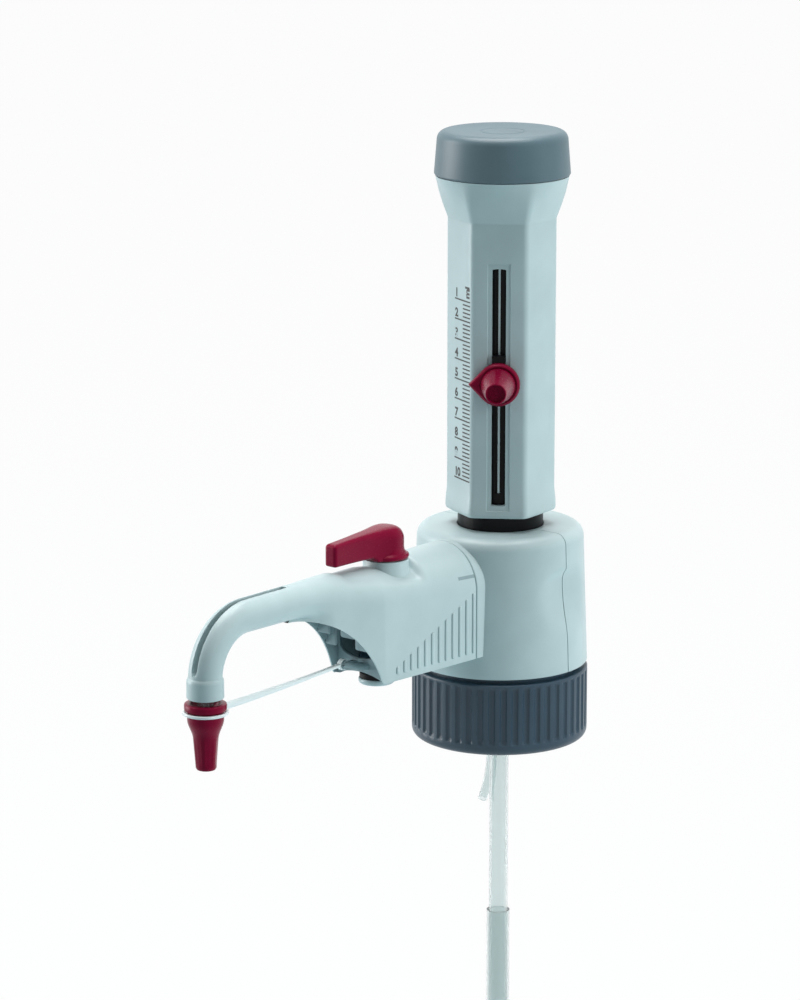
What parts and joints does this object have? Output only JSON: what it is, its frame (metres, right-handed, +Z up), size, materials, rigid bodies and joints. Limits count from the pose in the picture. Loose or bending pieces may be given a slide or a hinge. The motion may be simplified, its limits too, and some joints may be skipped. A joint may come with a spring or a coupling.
{
  "type": "bottle-top dispenser",
  "caption": "Bottle-top liquid dispenser with piston cylinder, volume scale, recirculation lever, discharge arm with tethered cap and telescopic filling tube.",
  "frame": {"origin": "centre of the bottle's lip seat, on the underside of the sealing washer", "axes": "+Z up along the piston, +X along the discharge arm towards the nozzle"},
  "size_m": [0.1662, 0.0542, 0.3975],
  "materials": {
    "collar_grey": "dark blue-grey polypropylene, fine matt texture",
    "light_grey": "light blue-grey moulded plastic, satin",
    "cap_grey": "mid blue-grey moulded plastic, satin",
    "red_plastic": "crimson moulded plastic, glossy",
    "black_plastic": "black moulded plastic",
    "white_ptfe": "white fluoropolymer, machined",
    "clear_glass": "drawn clear glass",
    "clear_tube": "translucent fluoropolymer tube",
    "clear_strap": "milky translucent flexible plastic",
    "black_rubber": "fluoroelastomer seal",
    "valve_ball": "polished ball",
    "spring_wire": "drawn corrosion-resistant wire",
    "steel": "turned corrosion-resistant steel"
  },
  "bodies": {
    "bottle_mount": {"thread_collar": "collar_grey", "lip_seal": "white_ptfe"},
    "housing": {"valve_block": "white_ptfe", "front_shell": "light_grey", "rear_shell": "light_grey", "glass_cylinder": "clear_glass", "cylinder_seal": "white_ptfe", "cylinder_sleeve": "black_plastic", "stop_rail": "white_ptfe", "safety_ring": "black_plastic", "filling_valve": "white_ptfe", "filling_valve_seal": "black_rubber", "filling_tube": "clear_tube", "return_tube": "clear_tube", "return_pipe": "white_ptfe", "union_nut": "light_grey", "discharge_valve": "white_ptfe", "discharge_seal": "black_rubber", "discharge_spring": "spring_wire", "switch_body": "white_ptfe", "switch_foot": "light_grey", "arm_cover": "light_grey", "discharge_tube": "clear_tube"},
    "filling_ball": {"filling_ball": "valve_ball"},
    "discharge_ball": {"discharge_ball": "valve_ball"},
    "telescopic_tube": {"telescopic_tube": "clear_tube"},
    "recirculation_lever": {"switch_plug": "white_ptfe", "plug_rings": "black_rubber", "lever": "red_plastic", "lever_screw": "steel"},
    "piston_carriage": {"hex_sleeve": "light_grey", "top_cap": "cap_grey", "piston_rod": "steel", "piston_head": "white_ptfe", "piston_lips": "black_rubber", "calibration_nut": "white_ptfe", "lock_disc": "red_plastic"},
    "volume_pointer": {"pointer_plate": "red_plastic", "clamp_block": "black_plastic"},
    "thumb_screw": {"thumb_screw": "red_plastic"},
    "cap_carrier": {"cap_strap": "clear_strap"},
    "discharge_cap": {"discharge_cap": "red_plastic"}
  },
  "joints": [
    {"name": "housing_swivel", "type": "hinge", "parent": "bottle_mount", "child": "housing", "pos_m": [0, 0, 0.0042], "axis": [0, 0, 1], "continuous": true},
    {"name": "filling_ball_lift", "type": "slide", "parent": "housing", "child": "filling_ball", "axis": [0, 0, 1], "range_m": [0, 0.0012]},
    {"name": "discharge_ball_lift", "type": "slide", "parent": "housing", "child": "discharge_ball", "axis": [1, 0, 0], "range_m": [0, 0.0012], "stiffness_N_per_m": 150, "springref_m": -0.001, "deforming": ["discharge_spring"]},
    {"name": "telescopic_slide", "type": "slide", "parent": "housing", "child": "telescopic_tube", "axis": [0, 0, -1], "range_m": [-0.05, 0.02]},
    {"name": "recirculation_turn", "type": "hinge", "parent": "housing", "child": "recirculation_lever", "pos_m": [0.054, 0, 0.047], "axis": [0, 0, 1], "range_deg": [0, 90]},
    {"name": "piston_lift", "type": "slide", "parent": "housing", "child": "piston_carriage", "axis": [0, 0, 1], "range_m": [0, 0.0613]},
    {"name": "volume_setting", "type": "slide", "parent": "piston_carriage", "child": "volume_pointer", "axis": [0, 0, 1], "range_m": [-0.0306, 0.0245]},
    {"name": "thumb_screw_turn", "type": "hinge", "parent": "volume_pointer", "child": "thumb_screw", "pos_m": [0.01359, 0.00988, 0.0937], "axis": [0.809, 0.5878, 0], "range_deg": [0, 180]},
    {"name": "cap_pull", "type": "slide", "parent": "housing", "child": "cap_carrier", "axis": [0, 0, -1], "range_m": [0, 0.022], "deforming": ["cap_strap"]},
    {"name": "cap_turn", "type": "hinge", "parent": "cap_carrier", "child": "discharge_cap", "pos_m": [0.1325, 0, 0.016], "axis": [0, 0, 1], "continuous": true}
  ]
}
